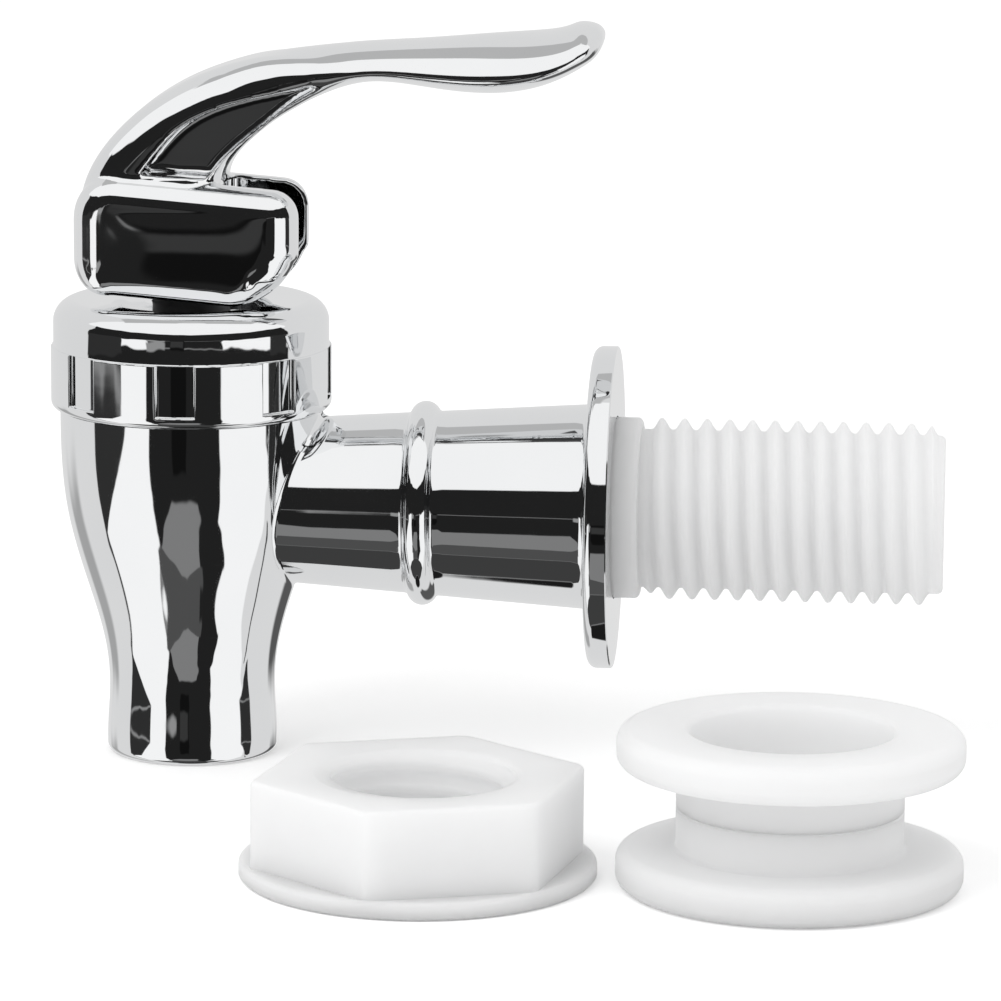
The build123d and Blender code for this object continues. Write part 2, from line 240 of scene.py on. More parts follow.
# Shader groups and materials

def newGroup(name, inputs, outputs):  # inputs by name with their first values; all sockets are plain numbers
    group = bpy.data.node_groups.new(name, "ShaderNodeTree")
    for socket, value in inputs.items():
        made = group.interface.new_socket(name=socket, in_out="INPUT", socket_type="NodeSocketFloat")
        made.default_value = value
    for socket in outputs:
        group.interface.new_socket(name=socket, in_out="OUTPUT", socket_type="NodeSocketFloat")
    return group, group.nodes.new("NodeGroupInput"), group.nodes.new("NodeGroupOutput")


def addNode(tree, kind, **settings):
    node = tree.nodes.new("ShaderNode" + kind)
    for name, value in settings.items():
        setattr(node, name, value)
    return node


def fillIn(node, **values):  # sets inputs by name, with _ for each space
    for name, value in values.items():
        node.inputs[name.replace("_", " ")].default_value = value
    return node


def wire(tree, source, target):
    tree.links.new(source, target)


def calculate(tree, operation, first, second=None):
    node = addNode(tree, "Math", operation=operation)
    for socket, value in zip(node.inputs, (first, second)):
        if isinstance(value, bpy.types.NodeSocket):
            wire(tree, value, socket)
        elif value is not None:
            socket.default_value = value
    return node.outputs[0]


def makeSurfaceGrain():  # fine ripple and patches that moulded and plated surfaces have
    group, start, end = newGroup(
        "surfaceGrain",
        {"Ripple Size": 600.0, "Patch Size": 120.0, "Low": 0.03, "High": 0.07},
        ["Height", "Roughness", "Patches"],
    )
    place = addNode(group, "TexCoord")
    ripple, patches = addNode(group, "TexNoise"), addNode(group, "TexNoise")
    for noise, size, detail in ((ripple, "Ripple Size", 2), (patches, "Patch Size", 4)):
        fillIn(noise, Detail=detail)
        wire(group, place.outputs["Object"], noise.inputs["Vector"])
        wire(group, start.outputs[size], noise.inputs["Scale"])
    spread = fillIn(addNode(group, "MapRange"), From_Min=0.35, From_Max=0.65)
    wire(group, patches.outputs[0], spread.inputs["Value"])
    wire(group, start.outputs["Low"], spread.inputs["To Min"])
    wire(group, start.outputs["High"], spread.inputs["To Max"])
    wire(group, ripple.outputs[0], end.inputs["Height"])
    wire(group, spread.outputs[0], end.inputs["Roughness"])
    wire(group, patches.outputs[0], end.inputs["Patches"])
    return group


surfaceGrain = makeSurfaceGrain()


def newMaterial(name, **sockets):
    material = bpy.data.materials.new(name)
    material.use_nodes = True
    shader = fillIn(material.node_tree.nodes["Principled BSDF"], **sockets)
    return material, material.node_tree, shader


def addGrain(tree, shader, ripple, patch, low, high, bump, distance):
    grain = addNode(tree, "Group", node_tree=surfaceGrain)
    fillIn(grain, Ripple_Size=ripple, Patch_Size=patch, Low=low, High=high)
    lift = fillIn(addNode(tree, "Bump"), Strength=bump, Distance=distance)
    wire(tree, grain.outputs["Height"], lift.inputs["Height"])
    wire(tree, lift.outputs["Normal"], shader.inputs["Normal"])
    wire(tree, grain.outputs["Roughness"], shader.inputs["Roughness"])
    return grain


def tint(tree, shader, grain, darker, lighter):  # colour drifts slightly between two tones
    blend = fillIn(addNode(tree, "Mix", data_type="RGBA"), A=(*darker, 1), B=(*lighter, 1))
    wire(tree, grain.outputs["Patches"], blend.inputs["Factor"])
    wire(tree, blend.outputs["Result"], shader.inputs["Base Color"])


def makeFinish(name, darker, lighter, ripple, patch, low, high, bump, distance, **sockets):
    material, tree, shader = newMaterial(name, **sockets)
    grain = addGrain(tree, shader, ripple, patch, low, high, bump, distance)
    tint(tree, shader, grain, darker, lighter)
    return material


softGlowPlastic = {  # light goes a little way into these; their white emission is a faint glow, painted light that brightens them
    "Subsurface_Weight": 1.0,
    "Subsurface_Radius": (1.0, 1.0, 1.0),
    "IOR": 1.4,
    "Specular_IOR_Level": 0.3,
    "Emission_Color": (1, 1, 1, 1),
}

chrome = makeFinish(
    "brightChrome", (0.84, 0.85, 0.86), (0.90, 0.905, 0.91),
    ripple=260.0, patch=90.0, low=0.015, high=0.05, bump=0.12, distance=0.00004, Metallic=1.0)
# Emission_Strength gives naturalPlastic a faint glow: painted light that lifts its tone
natural = makeFinish(
    "naturalPlastic", (0.82, 0.822, 0.825), (0.87, 0.872, 0.874),
    ripple=420.0, patch=160.0, low=0.40, high=0.52, bump=0.2, distance=0.00006,
    Subsurface_Scale=0.008, Emission_Strength=0.04, **softGlowPlastic)
# Emission_Strength gives clearSilicone a faint glow: painted light that lifts its tone
silicone = makeFinish(
    "clearSilicone", (0.79, 0.792, 0.795), (0.84, 0.842, 0.845),
    ripple=300.0, patch=110.0, low=0.36, high=0.48, bump=0.2, distance=0.00006,
    Subsurface_Scale=0.010, Emission_Strength=0.05, **softGlowPlastic)
# near-black tint is painted shade: it makes the gap under the lever read dark where the stem and spring
# washer show
shadeDarkPlastic = makeFinish(
    "shadeDarkPlastic", (0.025, 0.025, 0.026), (0.05, 0.05, 0.052),
    ripple=700.0, patch=200.0, low=0.38, high=0.5, bump=0.3, distance=0.00005, IOR=1.48)
springSteel = makeFinish(
    "springSteel", (0.52, 0.52, 0.52), (0.66, 0.66, 0.65),
    ripple=2200.0, patch=400.0, low=0.2, high=0.34, bump=0.3, distance=0.00003, Metallic=1.0)
ringRubber = makeFinish(
    "ringRubber", (0.016, 0.016, 0.017), (0.035, 0.035, 0.036),
    ripple=1500.0, patch=300.0, low=0.5, high=0.68, bump=0.4, distance=0.00004, IOR=1.5)
print("materials ready")


# Plated body: vase, tapered shank with its bead, and wall flange

body = {
    "side": [(11.62, 8.2), (11.0, -1.0), (9.25, -7.5), (7.62, -13.6), (7.38, -17.2), (7.58, -21.2)],
    "startWay": (0, -1),
    "endWay": (0.02, -1),
    "sideSteps": 14,
    "mouthRound": 0.7,
    "boreRadius": 5.6,
    "boreChamfer": 0.5,
    "seatHeight": -7.0,
    "seatReliefRadius": 5.9,
    "seatReliefDepth": 3.0,
    "chamberRadius": 8.0,
    "neckRadius": 10.2,
    "neckTop": 15.0,
    "passageRadius": 4.6,
    "passageLength": 14,
    "passageSides": 96,
    "socketRadius": 6.6,
    "socketDepth": 12.0,
    "collarSeatRadius": 8.1,
    "collarSeatDepth": 0.6,
    "flangeRadius": 14.25,
    "flangeThickness": 2.1,
    "flangeEdgeRound": 0.8,
    "flangeRearChamfer": 0.1,
    "flangeRootRound": 0.7,
    "shankRadius": 9.1,  # at the flange
    "taper": 0.0665,
    "beadSetback": 17.0,
    "beadRadius": 1.3,
    "beadHeight": 0.95,
    "beadFillet": 0.4,
    "beadTries": 8,
    "junctionFillet": 0.6,  # between the shank and the vase
    "junctionSteps": 10,
    "junctionReach": (8.0, 14.0),  # nearest and farthest that it can lie from the vase's axis
    "junctionTries": 40,
    "junctionSamples": 81,
    "junctionOverlap": 0.12,
    "junctionSink": (0.003, 0.4),  # how far its last two rows lie under the vase's skin
    "waitingFrom": -30.0,  # rows stand here until the junction gives them their place
    "waitingGap": 0.01,
    "plainFrom": -26.5,  # the shank is a plain cone from here
    "rowMargin": 0.6,
    "steps": 256,
}


def shankRadius(x):
    return body["shankRadius"] + body["taper"] * (x + body["flangeThickness"])


def makeVase():
    side = splineThrough(body["side"], body["startWay"], body["endWay"], body["sideSteps"])
    mouthRadius, roundOff = body["side"][-1][0], body["mouthRound"]
    bore, chamfer = body["boreRadius"], body["boreChamfer"]
    seat, relief = body["seatHeight"], body["seatReliefRadius"]
    outline = [tuple(spot) for spot in side]
    outline += arc((mouthRadius - roundOff, floorZ + roundOff), roundOff, 0, -90)
    outline += [
        (bore + chamfer, floorZ),
        (bore, floorZ + chamfer),
        (bore, seat - body["seatReliefDepth"]),
        (relief, seat - body["seatReliefDepth"]),
        (relief, seat),
        (body["chamberRadius"], seat),
        (body["chamberRadius"], body["neckTop"]),
        (body["neckRadius"], body["neckTop"]),
        (body["neckRadius"], body["side"][0][1]),
    ]
    vase = shift(lathe("faucetBody", outline, body["steps"]), (axisX, 0, 0))
    freeHands()
    bpy.ops.mesh.primitive_cylinder_add(
        vertices=body["passageSides"], radius=body["passageRadius"], depth=body["passageLength"],
        location=(axisX + body["passageLength"] / 2, 0, 0), rotation=(0, math.pi / 2, 0))
    return boolean(vase, bpy.context.object), side


# for each turn round the shank, the rolled fillet between it and the vase, as points of (x, radius)
def junctionLines(side):
    heights = side[::-1, 1]
    radii = side[::-1, 0]
    fillet = body["junctionFillet"]
    slope = math.sqrt(1 + body["taper"] ** 2)

    def vaseX(radius, angle):
        across = radius * np.cos(angle)
        there = np.interp(radius * np.sin(angle), heights, radii)
        return axisX + np.sqrt(np.maximum(there ** 2 - across ** 2, 0))

    lines = []
    for number in range(body["steps"]):
        angle = math.tau * number / body["steps"]
        near, far = (axisX + reach for reach in body["junctionReach"])
        for _ in range(body["junctionTries"]):
            x = (near + far) / 2
            centre = shankRadius(x) + fillet * slope
            radius = np.linspace(centre - 1.5 * fillet, centre + 1.5 * fillet, body["junctionSamples"])
            gap = np.hypot(vaseX(radius, angle) - x, radius - centre)
            if gap.min() < fillet:
                near = x
            else:
                far = x
        touch = radius[gap.argmin()]
        start = Vector((x + fillet * body["taper"] / slope, centre - fillet / slope)) - Vector((x, centre))
        end = Vector((float(vaseX(touch, angle)), touch)) - Vector((x, centre))
        first = math.atan2(start.y, start.x)
        sweep = (math.atan2(end.y, end.x) - first + math.pi) % math.tau - math.pi
        line = []
        for step in range(body["junctionSteps"] + 1):
            roll = first + sweep * step / body["junctionSteps"]
            line.append((x + fillet * math.cos(roll), centre + fillet * math.sin(roll)))
        beyond = touch + body["junctionOverlap"]
        line += [(float(vaseX(beyond, angle)) - sink, beyond) for sink in body["junctionSink"]]
        lines.append(line)
    return lines


def makeShank(side):
    taper = math.degrees(math.atan(body["taper"]))
    thick, root = body["flangeThickness"], body["flangeRootRound"]
    edge, rim = body["flangeEdgeRound"], body["flangeRadius"]
    away, apart, margin = body["waitingFrom"], body["waitingGap"], body["rowMargin"]
    waiting = [(shankRadius(away), away - apart * i) for i in range(body["junctionSteps"] + 3)]
    beadX, bead, foot = -body["beadSetback"], body["beadRadius"], body["beadFillet"]
    hoop = shankRadius(beadX) + body["beadHeight"] - bead
    outline = [(body["passageRadius"], waiting[-1][1])]
    outline += waiting[::-1]
    outline += [(shankRadius(x), x) for x in np.linspace(body["plainFrom"], beadX - bead - foot - margin, 4)]
    for way in (-1, 1):  # foot fillets and bead, drawn from the vase's side to the flange's
        x = beadX + way * bead
        for _ in range(body["beadTries"]):
            centre = shankRadius(x) + foot
            x = beadX + way * math.sqrt((bead + foot) ** 2 - (centre - hoop) ** 2)
        toBead = math.degrees(math.atan2(hoop - centre, beadX - x))
        if way < 0:
            outline += swapped(arc((x, centre), foot, -90 + taper, toBead, 5))
            beadStart = math.degrees(math.atan2(centre - hoop, x - beadX))
            outline += swapped(arc((beadX, hoop), bead, beadStart, 180 - beadStart, 18))[1:-1]
        else:
            outline += swapped(arc((x, centre), foot, toBead + 360, 270 + taper, 5))
    rootX = -thick - root
    outline += [(shankRadius(x), x) for x in np.linspace(beadX + bead + foot + margin, rootX - margin, 5)]
    outline += swapped(arc((rootX, shankRadius(rootX) + root), root, -90 + taper, 0, 6))
    outline += swapped(arc((-thick + edge, rim - edge), edge, 180, 90, 8))
    rear, socket = body["flangeRearChamfer"], body["socketRadius"]
    seat, seatDepth = body["collarSeatRadius"], body["collarSeatDepth"]
    outline += [(rim, -rear), (rim - rear, 0), (seat, 0), (seat, -seatDepth), (socket, -seatDepth),
                (socket, -body["socketDepth"]), (body["passageRadius"], -body["socketDepth"])]
    shank = lathe("shank", outline, body["steps"], axis="X")
    lines = junctionLines(side)
    waitingX = np.array([x for _, x in waiting])
    for vertex in shank.data.vertices:
        ring = int(np.argmin(abs(waitingX - vertex.co.x)))
        if abs(waitingX[ring] - vertex.co.x) > 0.4 * apart:
            continue
        angle = math.atan2(vertex.co.z, vertex.co.y)
        inner = math.hypot(vertex.co.y, vertex.co.z) < body["passageRadius"] + 0.1
        x, radius = lines[round(angle / math.tau * body["steps"]) % body["steps"]][ring]
        if inner:
            radius = body["passageRadius"]
        vertex.co = (x, radius * math.cos(angle), radius * math.sin(angle))
    return shank


vase, vaseSide = makeVase()
settle(joinPieces(vase, makeShank(vaseSide)), chrome, "body", "chrome_plate", "faucet_body")


# Bonnet cap with its grip ring

cap = {
    "radius": 12.2,
    "topRound": 2.0,
    "dishRadius": 8.6,
    "dishDepth": 0.25,
    "gripRadius": 12.42,
    "gripTop": 13.9,
    "gripBottomRound": 0.7,
    "recessCount": 8,
    "recessAngle": 16,
    "recessDepth": 0.4,
    "recessSill": 9.3,
    "recessFirst": 1.1,
    "boreRadius": 10.3,
    "underside": 16.0,
    "holeRadius": 3.48,
    "steps": 360,
    "sharpFrom": 50,  # edges that turn by more degrees than this are softened
    "softEdge": 0.17,
    "softSegments": 3,
}


def makeCap():
    top, bottom = capHigh.z, capLow.z
    grip, roundOff = cap["gripRadius"], cap["topRound"]
    low = cap["gripBottomRound"]
    outline = [(cap["boreRadius"], bottom)]
    outline += arc((grip - low, bottom + low), low, -90, 0)
    outline += [(grip, cap["recessSill"]), (grip, cap["gripTop"]), (cap["radius"], cap["gripTop"])]
    outline += arc((cap["radius"] - roundOff, top - roundOff), roundOff, 0, 90, 16)
    dish = cap["dishRadius"]
    for radius in np.linspace(dish, cap["holeRadius"], 8):
        outline.append((radius, top - cap["dishDepth"] * (1 - (radius / dish) ** 2)))
    outline += [(cap["holeRadius"], cap["underside"]), (cap["boreRadius"], cap["underside"])]
    firstAngle = cap["recessFirst"] + 0.5 * (cap["recessAngle"] % 2)  # faces begin where recesses do
    piece = lathe("bonnetCap", outline, cap["steps"], firstAngle=firstAngle)
    takeUp(piece, "EDIT")
    bpy.ops.mesh.select_mode(type="FACE")
    bpy.ops.mesh.select_all(action="DESELECT")
    mesh = bmesh.from_edit_mesh(piece.data)
    spacing = 360 / cap["recessCount"]
    for face in mesh.faces:
        middle = face.calc_center_median()
        angle = math.degrees(math.atan2(middle.y, middle.x)) - cap["recessFirst"]
        offset = (angle + spacing / 2) % spacing - spacing / 2
        outside = math.hypot(middle.x, middle.y) > cap["radius"] + 0.1
        inRow = cap["recessSill"] < middle.z < cap["gripTop"] - 0.01
        face.select = outside and inRow and abs(offset) < cap["recessAngle"] / 2
    bmesh.update_edit_mesh(piece.data)
    bpy.ops.mesh.extrude_region_shrink_fatten(TRANSFORM_OT_shrink_fatten={"value": -cap["recessDepth"]})
    bpy.ops.mesh.select_mode(type="EDGE")
    bpy.ops.mesh.select_all(action="DESELECT")
    bpy.ops.mesh.edges_select_sharp(sharpness=math.radians(cap["sharpFrom"]))
    bpy.ops.mesh.bevel(
        offset=cap["softEdge"], segments=cap["softSegments"], affect="EDGES", clamp_overlap=True)
    bpy.ops.object.mode_set(mode="OBJECT")
    return shift(piece, (axisX, 0, 0))


settle(makeCap(), chrome, "body", "chrome_plate", "bonnet_cap")


# Lever in one moulding: fork with its cam, neck with side panels and leaf-shaped blade

lever = {
    "gap": 0.06,  # over the cap
    "width": 13.0,
    "slotWidth": 7.0,
    "back": 9.85,
    "edgeBack": 3.0,  # rounding of the cheek's border on each side
    "edgeFront": 2.7,
    "edgeTop": 2.1,
    "edgeBottom": 1.4,
    "edgeCam": 1.5,  # wider still along the cam
    "edgeSteps": 9,
    "sidePoints": 220,
    "sideSmoothing": 30,
    "cheekCrown": 0.15,
    "crownAbove": 0.4,  # how far the crown reaches past the flat's top
    "cornerRound": 3.0,
    "topBack": 29.6,
    "topFront": 28.1,
    "noseRound": 2.4,
    "crownRound": 3.7,
    "lipHeight": 22.5,
    "lipFrom": -20,
    "lipRunOut": [(0.25, 0.5), (0.02, 0.25)],  # back from the front and below the lip
    "camRadius": 5.9,
    "camReach": 4.1,
    "slotBackWall": 3.2,
    "slotRoof": 26.7,
    "openStart": 3.3,
    "stations": [  # x, z, slope in degrees, thickness, width
        (-3.35, 24.5, 90, 12.4, 10.6),
        (-3.0, 27.8, 84, 12.2, 10.6),
        (-1.3, 31.4, 68, 10.0, 10.5),
        (2.15, 34.6, 53, 8.05, 10.2),
        (6.7, 37.0, 36, 5.9, 9.6),
        (10.9, 38.35, 20, 4.4, 9.0),
        (15.4, 39.25, 9, 3.5, 8.8),
        (20.4, 39.3, 1, 4.1, 9.6),
        (26.3, 39.3, 2, 5.1, 11.6),
        (31.2, 39.95, 12, 4.6, 12.6),
        (34.1, 41.0, 20, 3.7, 11.2),
        (35.4, 41.8, 26, 2.8, 8.8),
        (36.2, 42.3, 29, 1.3, 4.6),
    ],
    "tipChange": (-1.0, -3.5),  # of thickness and width, for each millimetre at the tip
    "largestRound": 3.1,
    "roundShare": 0.46,
    "panelUpper": [(-3.9, 29.5), (-0.3, 33.6), (4.7, 35.9), (9.9, 37.1), (12.8, 37.7)],
    "panelLower": [(12.8, 37.7), (9.9, 36.2), (6.9, 33.9), (4.1, 31.6), (2.0, 29.2)],
    "upperWays": ((0.6, 0.8), (1, 0.15)),  # directions at the start and the end
    "lowerWays": ((-0.9, -0.4), (-0.55, -0.83)),
    "panelSteps": 10,
    "web": 3.0,
    "pivotHeight": 4.9,  # above the cap
    "pinRadius": 1.55,
    "pinLength": 1.2,
    "pinSunk": 0.2,
    "pinSides": 48,
    "leafFrom": 7.0,
    "leafFull": 15.0,
    "leafLine": 0.2,  # how far below the middle the leaf is widest
    "leafLens": 1.2,  # above 1 the leaf's border is sharper than an ellipse
    "sectionPoints": 72,
    "ringsBetween": 14,
    "voxel": 0.182,
    "smoothing": 16,
    "bladeRange": (8.0, 12.0, 40.0, 41.0),  # from nothing to full, and from full to nothing
    "bladeSmoothing": 45,
    "leafRange": (13.0, 15.5, 33.0, 35.0),  # here the surface is taken from the leaf's own form
}


def forkSide():  # the cheek's outline from the side, from the foot of the cam and round to it again
    bottom = capHigh.z + lever["gap"]
    cam, reach = lever["camRadius"], lever["camReach"]
    front = reach + cam
    side = arc((reach, bottom + cam), cam, -90, lever["lipFrom"], 16)
    side += [(front - back, lever["lipHeight"] - below) for back, below in lever["lipRunOut"]]
    side += roundedOutline([
        (front, lever["lipHeight"], 0),
        (front, lever["topFront"], lever["noseRound"]),
        (-lever["back"], lever["topBack"], lever["crownRound"]),
        (-lever["back"], bottom, lever["cornerRound"]),
    ])
    return side


def makeFork():
    outline = forkSide()
    corners = np.array(outline + outline[:1])
    reach = np.insert(np.cumsum(np.linalg.norm(np.diff(corners, axis=0), axis=1)), 0, 0)
    even = np.linspace(0, reach[-1], lever["sidePoints"], endpoint=False)
    side = np.column_stack([np.interp(even, reach, column) for column in corners.T])
    along = np.roll(side, -1, axis=0) - np.roll(side, 1, axis=0)
    out = np.column_stack([along[:, 1], -along[:, 0]])
    for _ in range(lever["sideSmoothing"]):
        out = out / 2 + (np.roll(out, 1, axis=0) + np.roll(out, -1, axis=0)) / 4
    out /= np.linalg.norm(out, axis=1)[:, None]
    flat = np.where(out[:, 0] > 0, lever["edgeFront"], lever["edgeBack"])
    upright = np.where(out[:, 1] > 0, lever["edgeTop"], lever["edgeBottom"])
    rounding = flat * out[:, 0] ** 2 + upright * out[:, 1] ** 2
    onCam = (out[:, 0] > 0) & (out[:, 1] < 0)
    rounding += 4 * lever["edgeCam"] * onCam * out[:, 0] ** 2 * out[:, 1] ** 2
    half = lever["width"] / 2
    rounding = np.minimum(rounding, half - lever["slotWidth"] / 2 - 0.1)
    steps = lever["edgeSteps"]
    rings = []
    for way, order in ((-1, range(steps, -1, -1)), (1, range(steps + 1))):
        for step in order:
            turn = math.pi / 2 * step / steps
            inset = side - out * (rounding * (1 - math.cos(turn)))[:, None]
            across = way * (half - rounding * (1 - math.sin(turn)))
            rings.append([Vector((x, y, z)) for (x, z), y in zip(inset, across)])
    return loft("leverHandle", rings)


def roundedSection(width, thickness, corner, turn):  # point of a rounded rectangle along one direction
    c, s = abs(math.cos(turn)), abs(math.sin(turn))
    a, b = width / 2, thickness / 2
    reach = min(a / max(c, 1e-6), b / max(s, 1e-6))
    if reach * c > a - corner and reach * s > b - corner:
        towards = c * (a - corner) + s * (b - corner)
        reach = towards + math.sqrt(towards ** 2 - (a - corner) ** 2 - (b - corner) ** 2 + corner ** 2)
    return reach * math.cos(turn), reach * math.sin(turn)


def leafSection(width, thickness, turn):  # crowned above, thin below
    line = lever["leafLine"]
    rise = math.sin(turn)
    share = (0.5 + line) * rise ** lever["leafLens"] if rise > 0 else (0.5 - line) * rise
    return width / 2 * math.cos(turn), thickness * (share - line)


def armRings():
    stations = np.array(lever["stations"])
    start = (0, 1, 0, 0, 0)
    ended = math.radians(stations[-1][2])
    end = (math.cos(ended), math.sin(ended), 0, *lever["tipChange"])
    rings = []
    for x, z, slope, thickness, width in splineThrough(stations, start, end, lever["ringsBetween"]):
        corner = min(min(thickness, width) * lever["roundShare"], lever["largestRound"])
        leaf = float(smoothStep(x, lever["leafFrom"], lever["leafFull"]))
        lean = math.radians(slope)
        ring = []
        for number in range(lever["sectionPoints"]):
            turn = math.tau * (number + 0.5) / lever["sectionPoints"]
            barW, barT = roundedSection(width, thickness, corner, turn)
            leafW, leafT = leafSection(width, thickness, turn)
            w = barW + (leafW - barW) * leaf
            t = barT + (leafT - barT) * leaf
            ring.append(Vector((x - t * math.sin(lean), w, z + t * math.cos(lean))))
        rings.append(ring)
    return rings


def box(name, low, high):
    (x, y, z), (right, far, top) = low, high
    return prism(name, [(x, y, z), (right, y, z), (right, far, z), (x, far, z)], (0, 0, top - z))


def crownCheeks(piece):  # the flat of each cheek swells slightly
    half = lever["width"] / 2
    left = -lever["back"] + lever["edgeBack"]
    right = lever["camReach"] + lever["camRadius"] - lever["edgeFront"]
    low = capHigh.z + lever["edgeBottom"]
    high = lever["topFront"] - lever["edgeTop"] + lever["crownAbove"]
    for vertex in piece.data.vertices:
        x, y, z = vertex.co
        u = (2 * x - left - right) / (right - left)
        v = (2 * z - low - high) / (high - low)
        if abs(y) > half - 0.1 and abs(u) < 1 and abs(v) < 1:
            vertex.co.y += math.copysign(lever["cheekCrown"] * (1 - u ** 4) * (1 - v * v), y)


def weighAlong(piece, name, reach):  # weighs the vertices above the cheeks by their place along the lever
    group = piece.vertex_groups.new(name=name)
    start, full, fading, end = reach
    for vertex in piece.data.vertices:
        x = vertex.co.x
        weight = float(smoothStep(x, start, full) * (1 - smoothStep(x, fading, end)))
        if weight > 0 and vertex.co.z > lever["topBack"]:
            group.add([vertex.index], weight, "REPLACE")


def makeLever():
    fork = makeFork()
    half, bottom = lever["slotWidth"] / 2, capHigh.z - 1
    front = lever["camReach"] + lever["camRadius"]
    openSlot = box("openSlot", (lever["openStart"], -half, bottom), (front + 1, half, lever["topBack"] + 1))
    boolean(fork, openSlot)
    rings = armRings()
    arm = loft("arm", rings)
    leafForm = loft("leafForm", rings)
    takeUp(leafForm)
    bpy.ops.object.shade_smooth()
    upper = splineThrough(lever["panelUpper"], *lever["upperWays"], lever["panelSteps"])
    lower = splineThrough(lever["panelLower"], *lever["lowerWays"], lever["panelSteps"])
    panel = [*upper, *lower[1:]]
    for way in (-1, 1):
        face = [(x, way * lever["web"] / 2, z) for x, z in panel]
        boolean(arm, prism("panel", face, (0, way * lever["width"], 0)))
    boolean(fork, arm, "UNION")
    slotBack = -lever["back"] + lever["slotBackWall"]
    boolean(fork, box("slot", (slotBack, -half, bottom), (front + 1, half, lever["slotRoof"])))
    pivot, sunk = capHigh.z + lever["pivotHeight"], lever["pinSunk"]
    for way in (-1, 1):
        freeHands()
        bpy.ops.mesh.primitive_cylinder_add(
            vertices=lever["pinSides"], radius=lever["pinRadius"], depth=lever["pinLength"] + 2 * sunk,
            location=(0, way * (half - lever["pinLength"] / 2 + sunk), pivot), rotation=(math.pi / 2, 0, 0))
        boolean(fork, bpy.context.object, "UNION")
    takeUp(fork)
    fork.data.remesh_voxel_size = lever["voxel"]
    fork.data.remesh_voxel_adaptivity = 0
    bpy.ops.object.voxel_remesh()
    finishModifier(fork, "SMOOTH", factor=0.5, iterations=lever["smoothing"])
    weighAlong(fork, "blade", lever["bladeRange"])
    finishModifier(fork, "SMOOTH", factor=0.5, iterations=lever["bladeSmoothing"], vertex_group="blade")
    crownCheeks(fork)
    weighAlong(fork, "leaf", lever["leafRange"])
    finishModifier(
        fork, "SHRINKWRAP", target=leafForm, wrap_method="NEAREST_SURFACEPOINT", vertex_group="leaf")
    takeUp(fork)
    bpy.ops.object.shade_smooth()
    finishModifier(
        fork, "DATA_TRANSFER", object=leafForm, use_loop_data=True, data_types_loops={"CUSTOM_NORMAL"},
        loop_mapping="POLYINTERP_NEAREST", vertex_group="leaf")
    bpy.data.objects.remove(leafForm)
    return shift(fork, (axisX, 0, 0))


settle(makeLever(), chrome, "lever", "chrome_plate", "lever_handle", smoothAngle=180, evenFaces=True)


# Threaded nipple

nipple = {
    "bossRadius": 7.8,
    "bossDepth": 0.6,
    "collarRadius": 8.0,
    "collarLength": 2.3,
    "collarRound": 0.5,
    "rootRadius": 7.0,
    "crestRadius": 8.0,
    "pitch": 2.0,
    "crestAtTop": 4.0,
    "crestHalf": 0.02,  # in pitches, the flat of a crest to each side
    "flankEnd": 0.46,
    "threadFrom": 3.2,
    "fadeIn": (0.7, 0.5),  # before and after the thread's start
    "fadeOut": (0.9, 0.1),  # both before its end
    "boreRadius": 4.8,
    "tailRadius": 6.6,
    "tailLength": 12.0,
    "endRound": 0.5,
    "boreChamfer": 0.3,
    "steps": 180,
    "rowsPerPitch": 24,
}


def threadRise(x, turn, pitch):  # 0 at the root and 1 at the crest, for a right-handed thread
    phase = (x - pitch * turn / math.tau) / pitch
    away = abs((phase + 0.5) % 1 - 0.5)
    return 1 - smoothStep(away, nipple["crestHalf"], nipple["flankEnd"])


def makeNipple():
    length = nippleHigh.x
    collar, root = nipple["collarRadius"], nipple["rootRadius"]
    roundOff, endRound = nipple["collarRound"], nipple["endRound"]
    start, end = nipple["collarLength"], length - endRound
    tail, boss, depth = nipple["tailRadius"], nipple["bossRadius"], nipple["bossDepth"]
    bore, chamfer, tailEnd = nipple["boreRadius"], nipple["boreChamfer"], -nipple["tailLength"]
    outline = [(bore, tailEnd), (tail, tailEnd), (tail, -depth), (boss, -depth), (boss, 0), (collar, 0)]
    outline += swapped(arc((start - roundOff, collar - roundOff), roundOff, 90, 0, 6))
    rows = int((end - start) / nipple["pitch"] * nipple["rowsPerPitch"])
    outline += [(root, x) for x in np.linspace(start, end, rows)]
    outline += swapped(arc((end, root - endRound), endRound, 90, 0, 6))[1:]
    outline += [(bore + chamfer, length), (bore, length - chamfer)]
    piece = lathe("threadedNipple", outline, nipple["steps"], axis="X")
    height = nipple["crestRadius"] - root
    (before, after), (early, late) = nipple["fadeIn"], nipple["fadeOut"]
    for vertex in piece.data.vertices:
        x, y, z = vertex.co
        radius = math.hypot(y, z)
        if radius < root - 0.01 or x < start + 0.01 or x > end + 0.01:
            continue
        turn = math.atan2(z, y) - math.pi / 2
        rise = threadRise(x - nipple["crestAtTop"], turn, nipple["pitch"])
        fade = smoothStep(x, nipple["threadFrom"] - before, nipple["threadFrom"] + after)
        fade *= 1 - smoothStep(x, end - early, end - late)
        grown = radius + height * rise * fade
        vertex.co = (x, y * grown / radius, z * grown / radius)
    return piece


settle(makeNipple(), natural, "body", "natural_plastic", "threaded_nipple", smoothAngle=50)


# Flanged hex nut

nut = {
    "acrossFlats": 24.5,
    "flangeRadius": 14.7,
    "flangeThickness": 1.5,
    "flangeChamfer": 0.3,  # below
    "flangeRound": 0.4,  # above
    "height": 8.6,
    "cornerRound": 1.2,
    "topRound": 0.45,
    "topSteps": 5,
    "clearance": 0.15,
    "mouthStep": 0.5,
    "mouthChamfer": 0.15,
    "boreMargin": 0.3,
    "turn": -11.8,
    "rowsPerPitch": 20,
    "waitingFrom": 50,  # hex rows stand a millimetre apart from here until they get their shape
    "steps": 360,
}


